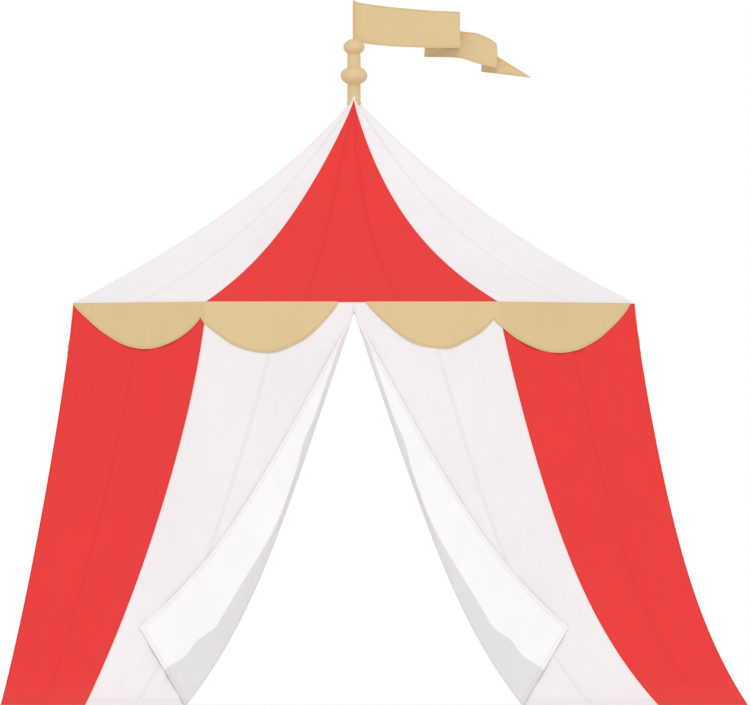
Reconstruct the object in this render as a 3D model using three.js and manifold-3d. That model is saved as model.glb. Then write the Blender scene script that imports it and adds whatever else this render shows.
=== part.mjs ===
// A small circus big top in its own frame, in millimetres: +Z up, X along the front, the entrance facing -Y.
// An octagonal eave ring on eight splayed legs carries a gored roof, the walls that flare to the ground,
// a scalloped valance and a short mast with two knobs and a streamer. The origin is on the ground, in the
// middle of the tent's box.

import * as THREE from "three";
import { mergeVertices } from "three/addons/utils/BufferGeometryUtils.js";
import Module from "manifold-3d";

// Heights above the ground.
const eaveHeight = 4030;
const peakHeight = 6106;
const doorHeight = 3920;

// The eave is an octagon: four broad sides at this reach from the mast, and four narrower corner sides.
const eaveReach = 2805;
const broadHalf = { left: 1480, right: 1440, deep: 1460 };

// How far the wall's broad sides (reach) and the broad sides' ends (half) move out between eave and ground.
// The way down is spread * t ** power + toe * t ** toePower, with t from 0 at the eave to 1 on the ground.
const wallFlare = {
  left: { reach: { spread: 673, power: 1.19, toe: 42 }, half: { spread: 1136, power: 1.415, toe: 64 } },
  right: { reach: { spread: 785, power: 1.22, toe: 337 }, half: { spread: 1127, power: 1.165, toe: 470 } },
  deep: { reach: { spread: 700, power: 1.2, toe: 180 }, half: { spread: 1130, power: 1.3, toe: 270 } },
};
const toePower = 5;

// How the roof draws in towards the mast: (1 - h) * (1 - slack * h + swell * h ** 2 - nip * h ** 3), with h
// from 0 at the eave to 1 at the peak.
const roofReach = {
  left: { slack: 0.402, swell: 0.012, nip: 0 },
  right: { slack: 0.442, swell: 0.179, nip: 0 },
  deep: { slack: 0.455, swell: 0.13, nip: 0 },
};
const roofHip = {
  left: { slack: 0.986, swell: 1.15, nip: 0.675 },
  right: { slack: 1.319, swell: 1.167, nip: 0.53 },
  deep: { slack: 1.15, swell: 1.16, nip: 0.6 },
};
const gorePinch = 0.05; // how far a gore sinks between its hips, as a share of its width
const goreRise = 1.6; // above 1 the rows of a gore stand closer together towards the peak
const goreTip = 0.995; // the gores end just short of the point where they would close
const cornerGoreDip = 0.022; // the corner gores' heads dip this share of the roof's rise between their hips

// Cloth and the hairline left between pieces that touch.
const cloth = 6;
const valanceCloth = 5;
const hairline = 0.4;
const valanceLift = 0.8; // between the wall and the valance over it
const hemLift = 4; // the hem hangs this far above the ground
const streamerCloth = 4;

// The entrance: half its width at t of the way down from its head is lean * t + curl * t ** 5.
const door = { left: { lean: 1307, curl: 363 }, right: { lean: 1319, curl: 357 } };
// The loose edge of each folded-back flap, down to its corner, is lean * t + curl * t ** 5.
const flapEdge = { lean: 2150, curl: 1280, end: 0.801 };
const flapHead = 0.012;
const flapSwell = 36;
const flapLift = 9;

// Scallops of the valance: their sag below the line between their two ends, how full it is (1 is a sine
// wave, less is fuller) and which way its lowest point lies (above 1 it is right of the middle).
const scallopShape = {
  even: { sag: 400, round: 0.82, lean: 1 },
  frontLeftCorner: { sag: 372, round: 0.74, lean: 1.2 },
  frontLeft: { sag: 424, round: 0.85, lean: 1.08 },
  frontRight: { sag: 371, round: 0.95, lean: 0.96 },
  frontRightCorner: { sag: 403, round: 0.78, lean: 0.91 },
};
const scallopJoin = 180; // depth where two scallops meet
const frontJoin = { left: 152, right: 173 }; // the same at the front's two hips
const scallopEnd = 10; // depth where a scallop runs out on the eave
const valanceGap = { left: 160, right: 122 }; // bare eave over the entrance, each way from the mast
const hipShift = { left: 38, right: -73 }; // a front scallop's outer end lies this far past the hip along X
const rightCornerEnd = 0.964; // the last front scallop runs out at this share of the corner side

// Frame.
const ringInset = cloth + hairline;
const ringWidth = 80;
const ringDepth = 60;
const ringDrop = 3.7; // from the eave line to the ring's top, just clear of the roof's cloth
const ringTop = eaveHeight - ringDrop;
const legRadius = 30;
const legSplay = { along: 480, out: 350 };
const footPlate = { side: 180, thick: 12 };
const crossBeam = { width: 60, depth: 52, hubRadius: 140 };

// Mast: king post under the roof, gilded post with two knobs and a thin staff above it.
const kingPost = { radius: 45, flange: 110, flangeThick: 12, head: 60, headThick: 14 };
const finialFoot = 5946;
const postRadius = 66;
const postGap = 2.5; // between the post and the roof's cloth round it
const collarRadius = postRadius + postGap + cloth * Math.SQRT1_2;
const lowerKnob = { height: 6335, wide: 135, tall: 96 };
const upperKnob = { height: 6622, wide: 107, tall: 82 };
const staffRadius = 10;
const staffTop = 7096;

// How many faces each shape is cut into, down or along it and across or round it.
const steps = {
  gore: 15, broadGoreAcross: 4, cornerGoreAcross: 6,
  wall: 16, broadWallAcross: 2, cornerWallAcross: 5, halfWallAcross: 3,
  flap: 18, flapAcross: 5,
  valance: 3, cornerValanceAcross: 16, broadValanceAcross: 30,
  leg: 14, hub: 24, kingPost: 20, finial: 24, knob: 10, streamer: 65,
};

const colours = { red: 0xea4443, white: 0xf5eeee, gold: 0xdfc595, lining: 0xfbf8f9, metal: 0xc4c7ca };

const wasm = await Module();
wasm.setup();

const sideOf = (sign) => (sign < 0 ? "left" : "right");
const flare = ({ spread, power, toe }, t) => spread * t ** power + toe * t ** toePower;
const drawIn = ({ slack, swell, nip }, h) => (1 - h) * (1 - slack * h + swell * h ** 2 - nip * h ** 3);
const lerp = (a, b, s) => a.clone().lerp(b, s);

// The eight corners of the plan, anticlockwise from the left end of the front: which way each lies from the
// mast, and along which axis it lies at the full reach.
const corners = [
  { name: "front_left", x: -1, y: -1, far: "y" },
  { name: "front_right", x: 1, y: -1, far: "y" },
  { name: "right_front", x: 1, y: -1, far: "x" },
  { name: "right_back", x: 1, y: 1, far: "x" },
  { name: "back_right", x: 1, y: 1, far: "y" },
  { name: "back_left", x: -1, y: 1, far: "y" },
  { name: "left_back", x: -1, y: 1, far: "x" },
  { name: "left_front", x: -1, y: -1, far: "x" },
];
const sideNames = [
  "front", "front_right", "right", "back_right", "back", "back_left", "left", "front_left",
];
const isBroad = (side) => side % 2 === 0;

// A corner of the wall at t of the way down from the eave.
function wallCorner(index, t) {
  const { x, y, far } = corners[index % corners.length];
  const across = sideOf(x);
  const alongX = far === "x" ? eaveReach : broadHalf[across];
  const alongY = far === "y" ? eaveReach : broadHalf.deep;
  const outX = flare(wallFlare[across][far === "x" ? "reach" : "half"], t);
  const outY = flare(wallFlare.deep[far === "y" ? "reach" : "half"], t);
  return new THREE.Vector3(x * (alongX + outX), y * (alongY + outY), eaveHeight * (1 - t));
}

// A corner of the roof at h of the way up from the eave; close to the peak the hips stand round the post.
function roofCorner(index, h) {
  const { x, y, far } = corners[index % corners.length];
  const across = sideOf(x);
  const reach = Math.max(eaveReach * drawIn(roofReach[far === "x" ? across : "deep"], h), collarRadius);
  const halfX = broadHalf[across] * drawIn(roofHip[across], h);
  const halfY = broadHalf.deep * drawIn(roofHip.deep, h);
  const height = eaveHeight + (peakHeight - eaveHeight) * h;
  return new THREE.Vector3(x * (far === "x" ? reach : halfX), y * (far === "y" ? reach : halfY), height);
}

// A point moved level towards the mast by a distance, or away from it where the distance is negative.
function inset(point, distance) {
  const scale = 1 - distance / Math.hypot(point.x, point.y);
  return new THREE.Vector3(point.x * scale, point.y * scale, point.z);
}

// A point moved half and half down and towards the mast, which is square enough to every part of the roof.
function under(point, distance) {
  const moved = inset(point, distance * Math.SQRT1_2);
  moved.z -= distance * Math.SQRT1_2;
  return moved;
}

// Points of a surface as rows from top to bottom, each from left to right as seen from outside.
function grid(rows, columns, at) {
  return Array.from({ length: rows + 1 }, (_, r) =>
    Array.from({ length: columns + 1 }, (__, c) => at(r / rows, c / columns)),
  );
}

// A closed sheet between an outer and an inner grid of points.
function sheet(outer, inner) {
  const width = outer[0].length;
  const count = outer.length * width;
  const points = [...outer.flat(), ...inner.flat()];
  const index = [];
  const quad = (a, b, c, d) => index.push(a, b, c, a, c, d);
  for (let r = 0; r + 1 < outer.length; r += 1) {
    for (let c = 0; c + 1 < width; c += 1) {
      const a = r * width + c;
      quad(a, a + width, a + width + 1, a + 1);
      quad(count + a, count + a + 1, count + a + width + 1, count + a + width);
    }
    const left = r * width;
    const right = left + width - 1;
    quad(left, count + left, count + left + width, left + width);
    quad(right, right + width, count + right + width, count + right);
  }
  const last = count - width;
  for (let c = 0; c + 1 < width; c += 1) {
    quad(c, c + 1, count + c + 1, count + c);
    quad(last + c, count + last + c, count + last + c + 1, last + c + 1);
  }
  const geometry = new THREE.BufferGeometry().setFromPoints(points);
  geometry.setIndex(index);
  return geometry;
}

const mapGrid = (points, move) => points.map((row) => row.map(move));

// Trims a share along an edge so that neighbours keep a hairline between them.
function trimmed(s, from, to) {
  const trim = hairline / 2 / Math.max(from.distanceTo(to), 1);
  return trim + s * (1 - 2 * trim);
}

function mesh(name, geometry, colour, metalness = 0, roughness = 0.8) {
  geometry.computeVertexNormals();
  const made = new THREE.Mesh(
    geometry,
    new THREE.MeshStandardMaterial({ color: colours[colour], metalness, roughness }),
  );
  made.name = name;
  return made;
}

// One gore of the roof. Its head narrows to a tip against the post, or dips between two tips.
function roofGore(side) {
  const point = (v, s) => {
    const top = isBroad(side) ? goreTip : goreTip - cornerGoreDip * Math.sin(Math.PI * s);
    const h = top * (1 - v ** goreRise);
    const from = roofCorner(side, h);
    const to = roofCorner(side + 1, h);
    const on = lerp(from, to, trimmed(s, from, to));
    const sink = gorePinch * from.distanceTo(to) * 4 * s * (1 - s) * 4 * h * (1 - h);
    const pulled = inset(on, sink);
    return inset(pulled, Math.min(0, Math.hypot(pulled.x, pulled.y) - collarRadius));
  };
  const outer = grid(steps.gore, isBroad(side) ? steps.broadGoreAcross : steps.cornerGoreAcross, point);
  return sheet(outer, mapGrid(outer, (p) => under(p, cloth)));
}

// The drop at which the wall's cloth starts, under the roof's edge, and the one at which it ends.
const wallTop = (cloth * Math.SQRT1_2 + hairline) / eaveHeight;
const wallFoot = 1 - hemLift / eaveHeight;
const dropAt = (height) => 1 - height / eaveHeight;
const levelAt = (row) => wallTop + ((wallFoot - wallTop) * row) / steps.wall;

// A corner of the wall on the straight stretches between the levels of its rows.
function wallEdge(index, t) {
  const place = ((t - wallTop) / (wallFoot - wallTop)) * steps.wall;
  const row = Math.min(Math.floor(place), steps.wall - 1);
  if (row < 0) return wallCorner(index, t);
  return lerp(wallCorner(index, levelAt(row)), wallCorner(index, levelAt(row + 1)), place - row);
}

function wallSide(side) {
  const across = isBroad(side) ? steps.broadWallAcross : steps.cornerWallAcross;
  const outer = grid(steps.wall, across, (v, s) => {
    const t = levelAt(v * steps.wall);
    const from = wallCorner(side, t);
    const to = wallCorner(side + 1, t);
    return lerp(from, to, trimmed(s, from, to));
  });
  return sheet(outer, mapGrid(outer, (p) => inset(p, cloth)));
}

// Half the entrance's width at a height, on one side of the mast.
function doorHalf(across, height) {
  const t = Math.max(0, (doorHeight - height) / doorHeight);
  return Math.max(door[across].lean * t + door[across].curl * t ** 5, hairline / 2);
}

// The front (face -1) or back (face 1) wall's outer face at a distance across and a height.
function onWall(face, x, height, out) {
  const reach = Math.abs(wallEdge(0, dropAt(height)).y);
  return new THREE.Vector3(x, face * (reach + out), height);
}

// Columns run from left to right seen from outside, so a grid laid out for the front's left half turns round
// on the front's right half and on the back's left half.
function handed(face, hand, points) {
  return face * hand > 0 ? points : points.map((row) => [...row].reverse());
}

// Half of the front or back wall, from its corner to the edge of the entrance.
function wallHalf(face, hand) {
  const across = sideOf(hand);
  const corner = hand < 0 ? 0 : 1;
  const outer = grid(steps.wall, steps.halfWallAcross, (v, s) => {
    const t = levelAt(v * steps.wall);
    const seam = Math.abs(wallCorner(corner, t).x) - hairline / 2;
    const height = eaveHeight * (1 - t);
    return onWall(face, hand * THREE.MathUtils.lerp(seam, doorHalf(across, height), s), height, 0);
  });
  const laid = handed(face, hand, outer);
  return sheet(laid, mapGrid(laid, (p) => inset(p, cloth)));
}

// A flap of the entrance, folded back over the wall: from its loose edge (s = 0) to the fold (s = 1).
function doorFlap(face, hand) {
  const across = sideOf(hand);
  const foot = 1 - hemLift / doorHeight;
  const place = (v, s, lift) => {
    const q = flapHead + (foot - flapHead) * v;
    const t = flapEdge.end * q;
    const edge = new THREE.Vector2(flapEdge.lean * t + flapEdge.curl * t ** 5, doorHeight * (1 - t));
    const foldHeight = doorHeight * (1 - q);
    const fold = new THREE.Vector2(doorHalf(across, foldHeight) + hairline, foldHeight);
    const at = edge.lerp(fold, s);
    const out = hairline + flapLift * (1 - s) + flapSwell * Math.sin(Math.PI * s) * q;
    return onWall(face, hand * at.x, at.y, out + lift);
  };
  const outer = grid(steps.flap, steps.flapAcross, (v, s) => place(v, s, cloth));
  const inner = grid(steps.flap, steps.flapAcross, (v, s) => place(v, s, 0));
  return sheet(handed(face, hand, outer), handed(face, hand, inner));
}

// A scallop of the valance along stations of the eave, each a side and a share of the way along it. Its
// depth runs from one end's to the other's with a round sag between them.
function scallops(stations, ends, count, { sag, round, lean }) {
  const reach = [0];
  const eavePoint = ({ side, s }) => lerp(wallCorner(side, 0), wallCorner(side + 1, 0), s);
  stations.slice(1).forEach((station, i) => {
    reach.push(reach[i] + eavePoint(station).distanceTo(eavePoint(stations[i])));
  });
  const last = stations.length - 1;
  const place = (v, c, out) => {
    const station = stations[c];
    const w = (reach[c] / reach[last]) * count;
    const scallop = Math.min(Math.floor(w), count - 1);
    const u = w - scallop;
    const from = scallop === 0 ? ends[0] : scallopJoin;
    const to = scallop === count - 1 ? ends[1] : scallopJoin;
    const depth = from + (to - from) * u + sag * Math.sin(Math.PI * u ** lean) ** round;
    const t = (depth / eaveHeight) * v;
    const a = wallEdge(station.side, t);
    const b = wallEdge(station.side + 1, t);
    return inset(lerp(a, b, station.s), -out);
  };
  const build = (out) => grid(steps.valance, last, (v, s) => place(v, Math.round(s * last), out));
  return sheet(build(valanceLift + valanceCloth), build(valanceLift));
}

const sideWidth = (side) => wallCorner(side, 0).distanceTo(wallCorner(side + 1, 0));

// Stations from one share of a side to another, with the corner between them where the run turns one.
function run(fromSide, from, toSide, to, across) {
  const legs = fromSide === toSide ? [[fromSide, from, to]] : [[fromSide, from, 1], [toSide, 0, to]];
  const stations = legs.flatMap(([side, a, b]) => {
    const wide = Math.max(1, Math.round(across * (b - a)));
    return Array.from({ length: wide + 1 }, (_, i) => ({ side, s: a + ((b - a) * i) / wide }));
  });
  const kept = stations.filter((station, i) => i === 0 || !(station.s === 0 && stations[i - 1].s === 1));
  kept[0].s += hairline / 2 / sideWidth(fromSide);
  kept[kept.length - 1].s -= hairline / 2 / sideWidth(toSide);
  return kept;
}

// The way square to one of the eave's sides, towards the mast.
function inwards(side) {
  const along = wallCorner(side + 1, 0).sub(wallCorner(side, 0)).normalize();
  return new THREE.Vector2(-along.y, along.x);
}

// The eave octagon set in by a distance square to its sides.
function eaveOutline(distance) {
  return corners.map((_, i) => {
    const here = wallCorner(i, 0);
    const p = inwards(i + corners.length - 1);
    const q = inwards(i);
    const mitre = p.clone().add(q).divideScalar(1 + p.dot(q));
    return new THREE.Vector2(here.x, here.y).addScaledVector(mitre, distance);
  });
}

function solid(geometry) {
  const bare = geometry.clone();
  bare.deleteAttribute("normal");
  bare.deleteAttribute("uv");
  const merged = mergeVertices(bare, 1e-3);
  const index = merged.index.array;
  return new wasm.Manifold(
    new wasm.Mesh({ numProp: 3, vertProperties: merged.attributes.position.array, triVerts: index }),
  );
}

function joined(geometries) {
  const made = geometries.map(solid).reduce((all, next) => all.add(next)).getMesh();
  const geometry = new THREE.BufferGeometry();
  geometry.setAttribute("position", new THREE.BufferAttribute(made.vertProperties, 3));
  return geometry.setIndex(new THREE.BufferAttribute(made.triVerts, 1)).toNonIndexed();
}

function lathe(profile, segments) {
  return new THREE.LatheGeometry(profile, segments).rotateX(Math.PI / 2);
}

function eaveRing() {
  const shape = new THREE.Shape(eaveOutline(ringInset));
  shape.holes.push(new THREE.Path(eaveOutline(ringInset + ringWidth)));
  const geometry = new THREE.ExtrudeGeometry(shape, { depth: ringDepth, bevelEnabled: false });
  return geometry.translate(0, 0, ringTop - ringDepth);
}

// A round leg from the middle of the ring at one corner down to its plate, splayed outwards.
function leg(index) {
  const { x, y, far } = corners[index];
  const top = eaveOutline(ringInset + ringWidth / 2)[index];
  const foot = new THREE.Vector2(
    x * (far === "x" ? legSplay.out : legSplay.along),
    y * (far === "y" ? legSplay.out : legSplay.along),
  ).add(top);
  const topHeight = ringTop - ringDepth - hairline;
  const footHeight = footPlate.thick / 2;
  const tube = new THREE.CylinderGeometry(legRadius, legRadius, topHeight - footHeight, steps.leg);
  tube.rotateX(Math.PI / 2).translate(0, 0, (topHeight + footHeight) / 2);
  const places = tube.attributes.position;
  for (let i = 0; i < places.count; i += 1) {
    const share = (places.getZ(i) - footHeight) / (topHeight - footHeight);
    places.setX(i, places.getX(i) + THREE.MathUtils.lerp(foot.x, top.x, share));
    places.setY(i, places.getY(i) + THREE.MathUtils.lerp(foot.y, top.y, share));
  }
  const plate = new THREE.BoxGeometry(footPlate.side, footPlate.side, footPlate.thick);
  plate.translate(foot.x, foot.y, footPlate.thick / 2);
  return joined([tube, plate]);
}

// Two level beams across the ring with a round hub that carries the king post.
function crossBeams() {
  const length = 2 * (eaveReach - ringInset - ringWidth - hairline);
  const middle = ringTop - ringDepth / 2;
  const across = new THREE.BoxGeometry(length, crossBeam.width, crossBeam.depth).translate(0, 0, middle);
  const deep = new THREE.BoxGeometry(crossBeam.width, length, crossBeam.depth).translate(0, 0, middle);
  const hub = new THREE.CylinderGeometry(crossBeam.hubRadius, crossBeam.hubRadius, ringDepth, steps.hub);
  hub.rotateX(Math.PI / 2).translate(0, 0, middle);
  return joined([across, deep, hub]);
}

function kingPostProfile() {
  const { radius, flange, flangeThick, head, headThick } = kingPost;
  const foot = ringTop + hairline;
  const top = finialFoot - hairline;
  return [
    [0, foot],
    [flange, foot],
    [flange, foot + flangeThick],
    [radius, foot + flangeThick],
    [radius, top - headThick],
    [head, top - headThick],
    [head, top],
    [0, top],
  ].map(([r, z]) => new THREE.Vector2(r, z));
}

// The outline of a knob from where it leaves one radius to where it meets another.
function knob({ height, wide, tall }, below, above) {
  const start = Math.asin(Math.sqrt(1 - (below / wide) ** 2));
  const end = Math.asin(Math.sqrt(1 - (above / wide) ** 2));
  return Array.from({ length: steps.knob + 1 }, (_, i) => {
    const turn = -start + ((start + end) * i) / steps.knob;
    return new THREE.Vector2(wide * Math.cos(turn), height + tall * Math.sin(turn));
  });
}

function finialProfile() {
  return [
    new THREE.Vector2(0, finialFoot),
    new THREE.Vector2(postRadius, finialFoot),
    ...knob(lowerKnob, postRadius, postRadius),
    ...knob(upperKnob, postRadius, staffRadius),
    new THREE.Vector2(staffRadius, staffTop),
    new THREE.Vector2(0, staffTop),
  ];
}

// The streamer hangs from the staff and doubles back on itself twice before its tip: the places of its
// upper and lower edges at the staff, along each run and at each fold.
const streamerRuns = [
  { x: staffRadius + hairline, y: 0, foot: 6711, head: 7083 },
  { x: 60, y: -7, foot: 6697, head: 7069 },
  { x: 120, y: -14, foot: 6662, head: 7059 },
  { x: 400, y: -45, foot: 6628, head: 7022 },
  { x: 780, y: -52, foot: 6613, head: 6989 },
  { x: 1066, y: -40, foot: 6607, head: 6972 },
  { x: 900, y: 8, foot: 6572, head: 6935 },
  { x: 710, y: 48, foot: 6529, head: 6903 },
  { x: 1060, y: 92, foot: 6513, head: 6787 },
  { x: 1260, y: 84, foot: 6453, head: 6757 },
  { x: 1438, y: 104, foot: 6403, head: 6650 },
  { x: 1279, y: 150, foot: 6381, head: 6620 },
  { x: 1450, y: 182, foot: 6357, head: 6527 },
  { x: 1780, y: 150, foot: 6316, head: 6323 },
];

function streamer() {
  const edge = (level) => {
    const points = streamerRuns.map((r) => new THREE.Vector3(r.x, r.y, r[level]));
    return new THREE.CatmullRomCurve3(points, false, "centripetal");
  };
  const head = edge("head");
  const foot = edge("foot");
  const place = (v, u, out) => {
    const along = foot.getTangent(u).setZ(0).normalize();
    const on = lerp(head.getPoint(u), foot.getPoint(u), v);
    return on.add(new THREE.Vector3(along.y, -along.x, 0).multiplyScalar(out));
  };
  return sheet(
    grid(1, steps.streamer, (v, u) => place(v, u, streamerCloth / 2)),
    grid(1, steps.streamer, (v, u) => place(v, u, -streamerCloth / 2)),
  );
}

function group(...children) {
  const made = new THREE.Group();
  made.add(...children.flat());
  return made;
}

const roof = group(
  sideNames.map((name, side) => mesh(`roof_gore_${name}`, roofGore(side), isBroad(side) ? "red" : "white")),
);

const faces = [{ name: "front", face: -1 }, { name: "back", face: 1 }];
const hands = [-1, 1];

const walls = group(
  sideNames
    .map((name, side) => ({ name, side }))
    .filter(({ name }) => name !== "front" && name !== "back")
    .map(({ name, side }) => mesh(`wall_${name}`, wallSide(side), isBroad(side) ? "white" : "red")),
  faces.flatMap(({ name, face }) =>
    hands.map((hand) => mesh(`wall_${name}_${sideOf(hand)}_half`, wallHalf(face, hand), "white")),
  ),
);

const entrance = group(
  faces.flatMap(({ name, face }) =>
    hands.map((hand) => mesh(`door_flap_${name}_${sideOf(hand)}`, doorFlap(face, hand), "lining")),
  ),
);

// Shares of the front side at which its scallops end, and of the corner sides where they lap past the hips.
const frontWidth = broadHalf.left + broadHalf.right;
const frontShare = (x) => (x + broadHalf.left) / frontWidth;
const leftLap = 1 - hipShift.left / (eaveReach - broadHalf.left);
const rightLap = frontShare(broadHalf.right + hipShift.right);
const gapLeft = frontShare(-valanceGap.left);
const gapRight = frontShare(valanceGap.right);
const toEnd = (join) => [join, scallopEnd];
const fromEnd = (join) => [scallopEnd, join];
const bothEnds = [scallopEnd, scallopEnd];
const broad = steps.broadValanceAcross;
const narrow = steps.cornerValanceAcross;
const { even, frontLeftCorner, frontLeft, frontRight, frontRightCorner } = scallopShape;
const valanceRuns = [
  ["front_left_corner", run(7, 0, 7, leftLap, narrow), fromEnd(frontJoin.left), 1, frontLeftCorner],
  ["front_left", run(7, leftLap, 0, gapLeft, broad), toEnd(frontJoin.left), 1, frontLeft],
  ["front_right", run(0, gapRight, 0, rightLap, broad), fromEnd(frontJoin.right), 1, frontRight],
  [
    "front_right_corner",
    run(0, rightLap, 1, rightCornerEnd, narrow),
    toEnd(frontJoin.right),
    1,
    frontRightCorner,
  ],
  ["right", run(2, 0, 2, 1, broad), bothEnds, 2, even],
  ["back_right_corner", run(3, 0, 3, 1, narrow), fromEnd(scallopJoin), 1, even],
  ["back_right", run(4, 0, 4, 1 - gapRight, broad), toEnd(scallopJoin), 1, even],
  ["back_left", run(4, 1 - gapLeft, 4, 1, broad), fromEnd(scallopJoin), 1, even],
  ["back_left_corner", run(5, 0, 5, 1, narrow), toEnd(scallopJoin), 1, even],
  ["left", run(6, 0, 6, 1, broad), bothEnds, 2, even],
];
const valance = group(
  valanceRuns.map(([name, ...way]) => mesh(`valance_${name}`, scallops(...way), "gold")),
);

const frame = group(
  mesh("eave_ring", eaveRing(), "metal", 0.9, 0.45),
  corners.map(({ name }, i) => mesh(`leg_${name}`, leg(i), "metal", 0.9, 0.45)),
  mesh("cross_beams", crossBeams(), "metal", 0.9, 0.45),
);

const mast = group(
  mesh("king_post", lathe(kingPostProfile(), steps.kingPost), "metal", 0.9, 0.45),
  mesh("finial_mast", lathe(finialProfile(), steps.finial), "gold", 0.4, 0.5),
  mesh("streamer", streamer(), "gold"),
);

const tent = group(roof, walls, entrance, valance, frame, mast);
const wallEnd = (across) => eaveReach + flare(wallFlare[across].reach, wallFoot);
tent.position.x = (wallEnd("left") - wallEnd("right")) / 2;

export default tent;
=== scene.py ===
"""The looks of a small circus big top, in metres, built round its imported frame."""

import math

import bpy
import numpy as np
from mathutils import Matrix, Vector


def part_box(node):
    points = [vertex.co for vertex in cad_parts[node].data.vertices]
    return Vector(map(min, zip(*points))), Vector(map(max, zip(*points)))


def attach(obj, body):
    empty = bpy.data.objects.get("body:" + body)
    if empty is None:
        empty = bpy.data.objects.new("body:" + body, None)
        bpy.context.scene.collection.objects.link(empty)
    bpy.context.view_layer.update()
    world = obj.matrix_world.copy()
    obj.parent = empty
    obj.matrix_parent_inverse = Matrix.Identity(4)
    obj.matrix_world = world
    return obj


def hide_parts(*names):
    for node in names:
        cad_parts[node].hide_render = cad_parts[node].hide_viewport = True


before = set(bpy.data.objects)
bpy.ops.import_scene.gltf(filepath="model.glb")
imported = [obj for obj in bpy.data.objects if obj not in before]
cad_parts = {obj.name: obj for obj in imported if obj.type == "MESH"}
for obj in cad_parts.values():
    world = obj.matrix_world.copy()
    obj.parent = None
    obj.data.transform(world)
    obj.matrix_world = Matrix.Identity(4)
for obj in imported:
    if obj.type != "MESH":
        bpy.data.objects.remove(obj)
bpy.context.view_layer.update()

TAU = 2 * math.pi

# The mast stands off the middle of the tent's box; everything below is worked out round it.
post_low, post_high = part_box("king_post")
MAST_X = (post_low[0] + post_high[0]) / 2

# Main sizes, the same as the frame's. REACH is how far the eave stands from the mast at a broad side, and
# HALF how far it runs along that side to each hip.
EAVE = 4.030
PEAK = 6.106
DOOR_HEAD = 3.920
REACH = 2.805
HALF = {"left": 1.480, "right": 1.440, "deep": 1.460}
# A wall's corner goes out by spread, power and toe.
WALL_FLARE = {
    "left": {"reach": (0.673, 1.19, 0.042), "half": (1.136, 1.415, 0.064)},
    "right": {"reach": (0.785, 1.22, 0.337), "half": (1.127, 1.165, 0.470)},
    "deep": {"reach": (0.700, 1.20, 0.180), "half": (1.130, 1.30, 0.270)},
}
# A roof's corner comes in by slack, swell and nip.
ROOF_REACH = {
    "left": (0.402, 0.012, 0.0),
    "right": (0.442, 0.179, 0.0),
    "deep": (0.455, 0.130, 0.0),
}
ROOF_HIP = {
    "left": (0.986, 1.150, 0.675),
    "right": (1.319, 1.167, 0.530),
    "deep": (1.150, 1.160, 0.600),
}
GORE_PINCH = 0.05
CORNER_GORE_DIP = 0.022
COLLAR_RADIUS = 0.0715
# Half an entrance and the loose edge of its flap go out by lean and curl. The loose edge ends at a share of
# the way down, above the ground.
DOOR = {"left": (1.307, 0.363), "right": (1.319, 0.357)}
FLAP_EDGE = (2.150, 1.280)
FLAP_END = 0.801
# The valance's depth where scallops join and where a run ends, and its places along the eave.
SCALLOP_JOIN = 0.180
FRONT_JOIN = {"left": 0.152, "right": 0.173}
SCALLOP_END = 0.010
VALANCE_GAP = {"left": 0.160, "right": 0.122}
HIP_SHIFT = {"left": 0.038, "right": -0.073}
RIGHT_CORNER_END = 0.964

# Fitted to the photo in the looks alone: the roof's head and the tips of its gores, and a back entrance that
# is larger as seen from the eye's level.
HEAD_RISE = 0.022
HEAD_RISE_FROM = 0.970
GORE_TIP = 0.995
SIDE_TIP = 0.980
SIDE_WELT_TIP = 0.972
EYE_LEVEL = 0.25
BACK_LARGER = 1.026

# Cloth: thicknesses, seams, hems and folds.
CANVAS = 0.0026
VALANCE_CLOTH = 0.0026
FLAP_CLOTH = 0.0022
STREAMER_CLOTH = 0.0024
SEAM_HALF = 0.017
SEAM_RISE = 0.0016
HEM_BAND = 0.075
HEM_RISE = 0.0012
HEM_LIFT = 0.004
WALL_LENGTH = 4.35
FOLD_RADIUS = 0.013
# How far out the roof's pleats and waves and the walls' folds and gathers go.
PLEAT = 0.0016
EAVE_WAVE = 0.006
WALL_FOLD = 0.012
WALL_GATHER = 0.0025

# The octagon's sides, and its corners in the same order from the front left on: the hand in x and in y, and
# the axis along which the corner stands at REACH.
SIDES = ["front", "front_right", "right", "back_right", "back", "back_left", "left", "front_left"]
CORNERS = [
    (-1, -1, "y"), (1, -1, "y"), (1, -1, "x"), (1, 1, "x"),
    (1, 1, "y"), (-1, 1, "y"), (-1, 1, "x"), (-1, -1, "x"),
]
CORNER_NAMES = [
    "front_left", "front_right", "right_front", "right_back",
    "back_right", "back_left", "left_back", "left_front",
]
# Each half of an entrance: its name, the way it faces in y, its hand and the hand's way in x.
DOORWAYS = [
    (f"{end}_{hand}", facing, hand, sign)
    for end, facing in (("front", -1), ("back", 1))
    for hand, sign in (("left", -1), ("right", 1))
]


# Shapes.

def ease(value, low, high):
    """0 up to low, 1 from high on, and an S-shaped rise between them."""
    share = np.clip((value - low) / (high - low), 0, 1)
    return share * share * (3 - 2 * share)


def flare(way, t):
    """The way out at t of the way down: spread times t to a power, plus toe times t to the fifth."""
    spread, power, toe = way
    t = np.maximum(t, 0)
    return spread * t ** power + toe * t ** 5


def draw_in(way, h):
    """What is left of the eave's reach at h of the way up: (1 - h) (1 - slack h + swell h^2 - nip h^3)."""
    slack, swell, nip = way
    return (1 - h) * (1 - slack * h + swell * h ** 2 - nip * h ** 3)


def wall_corner(index, t):
    """A wall's corner at t of the way down from the eave: the eave's corner plus the flare each way."""
    x, y, far = CORNERS[index % 8]
    hand = "left" if x < 0 else "right"
    t = np.asarray(t, float)

    def along(axis, way):
        if far == axis:
            return REACH + flare(WALL_FLARE[way]["reach"], t)
        return HALF[way] + flare(WALL_FLARE[way]["half"], t)

    return np.stack([x * along("x", hand), y * along("y", "deep"), EAVE * (1 - t)], -1)


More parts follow.
